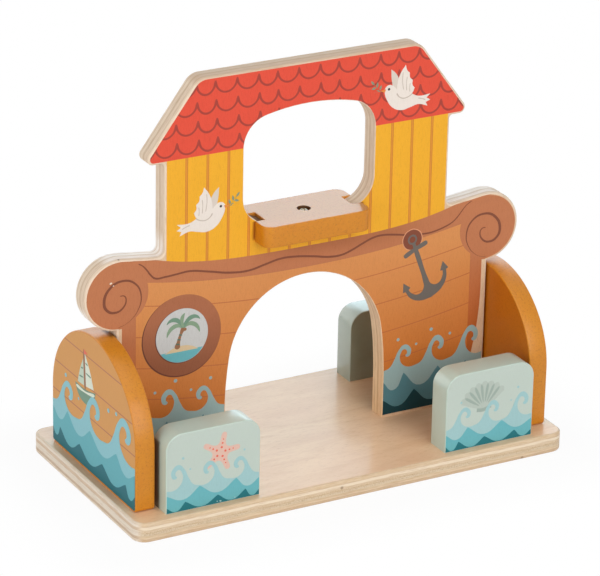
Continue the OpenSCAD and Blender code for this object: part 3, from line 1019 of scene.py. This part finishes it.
def palm_island(inks):
    """A palm on a small island, for the round porthole."""
    turns = range(-146, -33, 16)
    bay = [(16.3 * math.cos(math.radians(t)), 16.3 * math.sin(math.radians(t))) for t in turns]
    bay[0] = (*bay[0], CORNER)
    bay[-1] = (*bay[-1], CORNER)
    island = [(-10.6, -9.7, CORNER), (-5.8, -7.2), (0.6, -6.2), (6.6, -7.4), (10.6, -9.7, CORNER)]
    trunk = stroke([(-3.0, -7.4, 1.3), (-2.0, -3.4, 1.05), (-0.8, 0.6, 0.85), (1.0, 4.6, 0.7)])
    rings = [
        stroke([(-3.6, -4.8, 0.16), (-1.2, -5.1, 0.16)]), stroke([(-2.8, -2.0, 0.16), (-0.6, -2.4, 0.16)]),
        stroke([(-1.8, 0.8, 0.16), (0.2, 0.3, 0.16)]),
    ]
    low = [(0.0, 0.0, 0.3), (3.2, 1.6, 1.1), (6.6, 1.0, 1.3), (9.4, -1.8, 0.9), (10.4, -4.6, 0.08)]
    high = [(0.0, 0.0, 0.3), (2.2, 3.4, 1.1), (5.2, 5.4, 1.3), (8.4, 5.2, 0.9), (10.6, 3.4, 0.08)]
    top = [(0.0, 0.0, 0.3), (-0.9, 3.4, 0.9), (-0.6, 6.4, 1.1), (0.8, 8.6, 0.08)]
    fronds = []
    for ink, line in ((inks["sage_green"], low), (inks["green"], high)):
        for hand in (-1, 1):
            fronds.append((ink, [stroke([(1.0 + hand * u, 5.0 + v, half) for u, v, half in line])]))
    fronds.append((inks["sage_green"], [stroke([(1.0 + u, 5.0 + v, half) for u, v, half in top])]))
    nuts = [circle(0.2, 3.8, 1.0), circle(2.0, 3.6, 1.0)]
    ground = [(inks["mid_sea"], [bay]), (inks["sand"], [island])]
    tree = [(inks["bark"], [trunk]), (inks["dark_green"], rings)]
    return ground + tree + fronds + [(inks["bark"], nuts)]


def sailing_boat(inks):
    """A small two-sailed boat. The origin is on its waterline, below the mast."""
    hull = [
        (-13.0, 5.0, CORNER), (-10.0, -0.6), (-4.0, -4.0), (5.0, -4.0), (10.6, -0.6),
        (13.8, 6.0, CORNER), (0, 4.2),
    ]
    band = stroke([(-11.6, 3.4, 0.45), (0, 2.6, 0.55), (12.4, 4.2, 0.45)])
    mast = stroke([(0, 4.0, 0.6), (0, 28.4, 0.45)])
    main_sail = [(1.2, 6.4, CORNER), (1.2, 26.4, CORNER), (7.6, 16.6), (11.4, 7.2, CORNER)]
    fore_sail = [(-1.2, 6.2, CORNER), (-1.2, 22.6, CORNER), (-6.4, 14.0), (-9.6, 6.4, CORNER)]
    seams = [
        stroke([(1.6, 20.6, 0.14), (4.6, 20.0, 0.2)]), stroke([(1.6, 14.6, 0.14), (8.4, 13.8, 0.2)]),
        stroke([(-1.6, 16.6, 0.14), (-4.4, 16.2, 0.2)]), stroke([(-1.6, 11.0, 0.14), (-7.4, 10.6, 0.2)]),
    ]
    flag = [(0.2, 28.6, CORNER), (5.2, 27.0, CORNER), (0.2, 25.6, CORNER)]
    return [
        (inks["bark"], [mast]),
        (inks["sail"], [main_sail]),
        (inks["sail_shade"], [fore_sail]),
        (inks["green"], seams),
        (inks["green"], [hull]),
        (inks["sail"], [band]),
        (inks["coral"], [flag]),
    ]


def starfish(inks):
    """A five-armed starfish with rows of small dots."""
    outline = []
    dots = []
    for step in range(10):
        angle = math.radians(90 + 36 * step)
        reach = 4.6 if step % 2 else 11.0
        outline.append((reach * math.cos(angle), reach * math.sin(angle)))
        if step % 2 == 0:
            spots = ((2.6, 0.62), (4.9, 0.5), (7.0, 0.38))
            dots += [circle(r * math.cos(angle), r * math.sin(angle), size) for r, size in spots]
    return [(inks["pink"], [outline]), (inks["coral"], dots)]


def scallop_shell(inks):
    """A fan shell with ribs. The origin is its hinge."""
    lobes = 8
    span = 128
    rim = 14.5
    fan = [(1.8, 0.6), (-1.8, 0.6)]
    ribs = []
    for step in range(2 * lobes + 1):
        angle = math.radians(90 + span / 2 - span * step / (2 * lobes))
        ahead = Vector((math.cos(angle), math.sin(angle)))
        if step % 2:
            fan.append(tuple(ahead * rim))
        else:
            fan.append((*(ahead * (rim - 1.1)), CORNER))
            near = ahead * 3.4
            far = ahead * (rim - 1.6)
            ribs.append(stroke([(*near, 0.1), (*far, 0.34)]))
    ears = [(-4.2, -0.8, CORNER), (-3.4, 1.6), (3.4, 1.6), (4.2, -0.8, CORNER), (0, -1.6)]
    return [(inks["shell_shade"], [ears]), (inks["shell"], [fan]), (inks["shell_shade"], ribs[1:-1])]


def chip(across, up, size):
    """A small ragged fleck."""
    shares = ((1.0, 0.2), (0.3, 0.7), (-0.6, 0.4), (-0.9, -0.4), (0.1, -0.6))
    return [(across + size * u, up + size * v, CORNER) for u, v in shares]


# Dressing

ply_edge = panel_edge_finish()
base_edge = base_edge_finish()
base_top = base_top_finish()
ark_print = ark_print_finish()
end_print = end_print_finish()
block_print = block_print_finish()
mustard = mustard_finish("mustard_paint", MUSTARD, 0.44, 0.28)
# A darker copy of the mustard for the inner faces of the end panels: painted shade
mustard_shaded = mustard_finish("mustard_shaded_paint", MUSTARD_SHADED, 0.2, 0.28)
shelf_edge = mustard_finish("shelf_edge_paint", MUSTARD, 0.4, 0.28, True)
# The shelf's top takes a darker copy of the mustard as painted shade, under a glossier coat
shelf_top = mustard_finish("shelf_top_paint", SHELF_TOP_SHADED, 0.6, 0.12)
sage = sage_finish("sage_paint", SAGE)
# A darker copy of the sage for the blocks' faces towards the hull: painted shade
sage_shaded = sage_finish("sage_shaded_paint", SAGE_SHADED)
zinc = zinc_finish()
dowel = dowel_finish()

INK_COLOURS = {
    "line": seen(126, 70, 48),
    "dove": seen(232, 222, 212),
    "dove_shade": seen(214, 202, 190),
    "dove_line": seen(196, 180, 166),
    "sprig": seen(128, 148, 122),
    "beak": seen(226, 140, 60),
    "dark": seen(58, 50, 44),
    "hawse_rim": seen(214, 150, 112),
    "hawse": seen(128, 68, 46),
    "iron": seen(106, 99, 92),
    "sand": seen(216, 192, 152),
    "bark": seen(150, 104, 72),
    "green": seen(112, 146, 124),
    "sage_green": seen(132, 158, 130),
    "dark_green": seen(84, 112, 96),
    "sail": seen(222, 229, 212),
    "sail_shade": seen(196, 212, 192),
    "coral": seen(226, 106, 86),
    "pink": seen(222, 184, 168),
    "shell": seen(180, 192, 182),
    "shell_shade": seen(156, 172, 162),
    "bare": seen(236, 226, 208),
    "scratch": seen(206, 128, 40),
    "light_sea": seen(158, 197, 199),
    "mid_sea": seen(104, 178, 186),
    "deep_sea": seen(26, 112, 122),
    # The end panels' sea inks: partly the print's own tones, partly darkened as painted shade low on the
    # panels
    "end_light_sea": seen(138, 194, 203),
    "end_mid_sea": seen(94, 172, 182),
    "end_deep_sea": seen(0, 102, 114),
    # Darker copies of the sea inks for the hull: painted shade, as the hull's sea lies low behind the
    # blocks
    "hull_light_sea": seen(152, 180, 180),
    "hull_mid_sea": seen(84, 132, 142),
    "hull_deep_sea": seen(6, 60, 68),
}
inks = {name: ink_finish(name + "_ink", colour) for name, colour in INK_COLOURS.items()}
SEA_SHADES = ("light_sea", "mid_sea", "deep_sea")
hull_shaded_inks = [inks["hull_" + shade] for shade in SEA_SHADES]
end_inks = [inks["end_" + shade] for shade in SEA_SHADES]
block_inks = [inks[shade] for shade in SEA_SHADES]

board("base_plate", "birch_plywood", Z_AXIS, base_round, [base_edge, base_top, base_top])
board("ark_panel", "printed_plywood", Y_AXIS, ark_round, [ply_edge, ark_print, ark_print])
board("left_end_panel", "mustard_paint", X_AXIS, end_round, [mustard, end_print, mustard_shaded])
board("right_end_panel", "mustard_paint", X_AXIS, end_round, [mustard, mustard_shaded, end_print])
board("window_shelf", "mustard_paint", Z_AXIS, shelf_round, [shelf_edge, mustard, shelf_top])
for side in ("left", "right"):
    front = "front_" + side + "_wave_block"
    rear = "rear_" + side + "_wave_block"
    board(front, "sage_paint", Y_AXIS, block_round, [sage, block_print, sage_shaded])
    board(rear, "sage_paint", Y_AXIS, block_round, [sage, sage_shaded, block_print])

for node in ("shelf_screw", "leg_screws", "end_panel_screws", "wave_block_screws"):
    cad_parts[node].data.materials[0] = zinc
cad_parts["leg_dowels"].data.materials[0] = dowel

SIDES = {"left": -1, "right": 1}
ROWS = {"front": -1, "rear": 1}

for row, out in ROWS.items():
    origin = (0, out * PANEL_T / 2, 0)
    face = on_face(origin, (1, 0, 0), (0, out, 0))
    prints = [(face, 0, [(inks["line"], [stroke(GUNWALE_LINE)])])]
    for side in SIDES.values():
        half = on_face(origin, (side, 0, 0), (0, out, 0))
        prints.append((half, 0, sea(HULL_SEA, hull_shaded_inks)))
        prints.append((half, 0, volute(inks["line"])))
    prints.append((face @ at(-66.5, 160.0, 8, 0.96), 0, dove(inks)))
    prints.append((face @ at(60.5, 213.2, -8, 0.96, True), 0, dove(inks)))
    prints.append((face @ at(83.4, 84.5, 20), 1, anchor(inks)))
    prints.append((face @ at(-80.7, 90.3), 0, palm_island(inks)))
    prints.append((face, 1, [(inks["bare"], [chip(-125.1, 130.3, 0.9), chip(-123.5, 128.6, 0.5)])]))
    stamp("ark_" + row + "_stamps", "printed_plywood", prints)

scratches = [
    stroke([(4.9, 0.0, 0.2), (5.8, 0.1, 0.35), (7.0, 0.0, 0.12)]),
    stroke([(-10.4, -0.4, 0.1), (-9.4, -0.9, 0.2), (-8.6, -1.6, 0.1)]),
]
flat = Matrix.Scale(MM, 4) @ Matrix.Translation((0, 0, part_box("window_shelf")[1].z / MM))
stamp("shelf_scratches", "mustard_paint", [(flat, 0, [(inks["scratch"], scratches)])])

for side, out in SIDES.items():
    low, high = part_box(side + "_end_panel")
    middle = (low + high) / 2 / MM
    outer = (high.x if out > 0 else low.x) / MM
    face = on_face((outer, middle.y, 0), (0, -1, 0), (out, 0, 0))
    boat = face @ at(-10.0, 57.5, 4)
    picture = sailing_boat(inks)
    prints = [(boat, 0, picture), (face, len(picture), sea(END_SEA, end_inks))]
    stamp(side + "_end_stamps", "mustard_paint", prints)

for row, out in ROWS.items():
    for side, hand in SIDES.items():
        low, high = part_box(row + "_" + side + "_wave_block")
        middle = (low + high) / 2 / MM
        outer = (high.y if out > 0 else low.y) / MM
        face = on_face((middle.x, outer, 0), (hand, 0, 0), (0, out, 0))
        if side == "left":
            place = face @ at(-4.5, 43.5, 12, 1.12)
            picture = starfish(inks)
        else:
            place = face @ at(-4.0, 35.5, 8, 1.2)
            picture = scallop_shell(inks)
        prints = [(place, 0, picture), (face, len(picture), sea(BLOCK_SEA, block_inks))]
        if row == "front" and side == "left":
            flecks = [chip(-13.8, 13.5, 0.6), chip(-4.6, 13.2, 0.8), chip(-2.6, 13.4, 0.5)]
            prints.append((face, len(picture) + 3, [(inks["light_sea"], flecks)]))
        stamp(row + "_" + side + "_block_stamps", "sage_paint", prints)


# Studio

def look_from(azimuth, elevation, roll):
    """The camera's three axes, for a view from the front turned and raised by these angles."""
    a = math.radians(azimuth)
    e = math.radians(elevation)
    r = math.radians(roll)
    back = Vector((math.sin(a) * math.cos(e), -math.cos(a) * math.cos(e), math.sin(e)))
    level = Vector((math.cos(a), math.sin(a), 0))
    up = back.cross(level)
    right = level * math.cos(r) + up * math.sin(r)
    top = up * math.cos(r) - level * math.sin(r)
    return right, top, back


def add_camera():
    """The view of the photo. Its lens is given in pixels of a picture of this width."""
    right, top, back = look_from(-29.06, 22.64, 1.18)
    target = Vector((0, 0, 120))
    distance = 2038.61
    lens_pixels = 3545.25
    picture_width = 600
    sensor = 36
    place = (target + back * distance - right * 1.5 - top * 16.1) * MM
    data = bpy.data.cameras.new("camera")
    data.sensor_width = sensor
    data.lens = sensor * lens_pixels / picture_width
    camera = bpy.data.objects.new("camera", data)
    camera.matrix_world = Matrix.Translation(place) @ Matrix((right, top, back)).transposed().to_4x4()
    bpy.context.scene.collection.objects.link(camera)
    bpy.context.scene.camera = camera


def add_lamp(name, azimuth, elevation, width, height, level):
    """A soft box that looks at the object, in metres. Its level is how bright its face is: 1 is
    white."""
    _, _, back = look_from(azimuth, elevation, 0)
    target = Vector((0, 0, 0.1))
    distance = 2.0
    data = bpy.data.lights.new(name, "AREA")
    data.shape = "RECTANGLE"
    data.size = width
    data.size_y = height
    data.energy = math.pi * width * height * level
    lamp = bpy.data.objects.new(name, data)
    lamp.location = target + back * distance
    lamp.rotation_euler = back.to_track_quat("Z", "Y").to_euler()
    lamp.visible_camera = False
    bpy.context.scene.collection.objects.link(lamp)
    return lamp


def add_world(level):
    """White to the camera and in reflections, and a softer light on everything else."""
    world = bpy.data.worlds.new("studio")
    world.use_nodes = True
    bpy.context.scene.world = world
    nodes = Nodes(world.node_tree)
    soft = nodes.node("ShaderNodeBackground", {}, {"Color": (1, 1, 1, 1), "Strength": level})
    white = nodes.node("ShaderNodeBackground", {}, {"Color": (1, 1, 1, 1), "Strength": 1.0})
    sockets = {0: nodes.shown_rays(), 1: soft, 2: white}
    nodes.close(nodes.node("ShaderNodeMixShader", {}, sockets), "ShaderNodeOutputWorld")


def floor_finish():
    """White paper. To the camera and in reflections it glows, except for part of it close to
    the object, where the shadow shows."""
    finish = Finish("floor_paper")
    near_glow = 0.92
    shadow = 34
    side = (abs(finish.x) - BASE_HALF_X).most(0)
    front = (abs(finish.y) - 70).most(0)
    away = (side * side + front * front).math("SQRT")
    share = near_glow + away.above(shadow, shadow) * (1 - near_glow)
    fibre = finish.noise(30, detail=2.0)
    tone = finish.mix(fibre, (0.90, 0.90, 0.90, 1), (0.92, 0.92, 0.92, 1))
    paper = finish.node("ShaderNodeBsdfDiffuse", {}, {"Color": tone})
    glow = finish.node("ShaderNodeEmission", {}, {"Color": (1, 1, 1, 1), "Strength": 1.0})
    lit = finish.node("ShaderNodeMixShader", {}, {0: share, 1: paper, 2: glow})
    sockets = {0: finish.shown_rays(), 1: paper, 2: lit}
    return finish.finished(finish.node("ShaderNodeMixShader", {}, sockets))


def add_floor():
    """A sheet of paper far wider than the view, at the object's foot."""
    shape = bmesh.new()
    bmesh.ops.create_grid(shape, x_segments=1, y_segments=1, size=4.0)
    mesh = bpy.data.meshes.new("floor")
    shape.to_mesh(mesh)
    shape.free()
    mesh.materials.append(floor_finish())
    floor = bpy.data.objects.new("floor", mesh)
    bpy.context.scene.collection.objects.link(floor)


COOL_WHITE = (0.6, 0.86, 1.0)

add_camera()
add_world(0.13)
add_lamp("front_box", 4, 24, 1.6, 1.6, 3.25)
add_lamp("left_box", -79, 12, 1.8, 1.5, 2.35)
add_lamp("back_left_box", -158, 14, 1.8, 1.5, 1.1)
# This lamp has no mirror image, and the sheen lamp is nothing but one
back_box = add_lamp("back_right_box", 140, 16, 1.8, 1.5, 1.6)
back_box.visible_glossy = False
add_lamp("top_box", 0, 80, 1.5, 1.5, 1.4)
sheen_box = add_lamp("rear_sheen_box", 151, 23, 2.0, 1.1, 2.45)
sheen_box.data.color = COOL_WHITE
sheen_box.visible_diffuse = False
add_floor()
bpy.context.scene.view_settings.view_transform = "Standard"
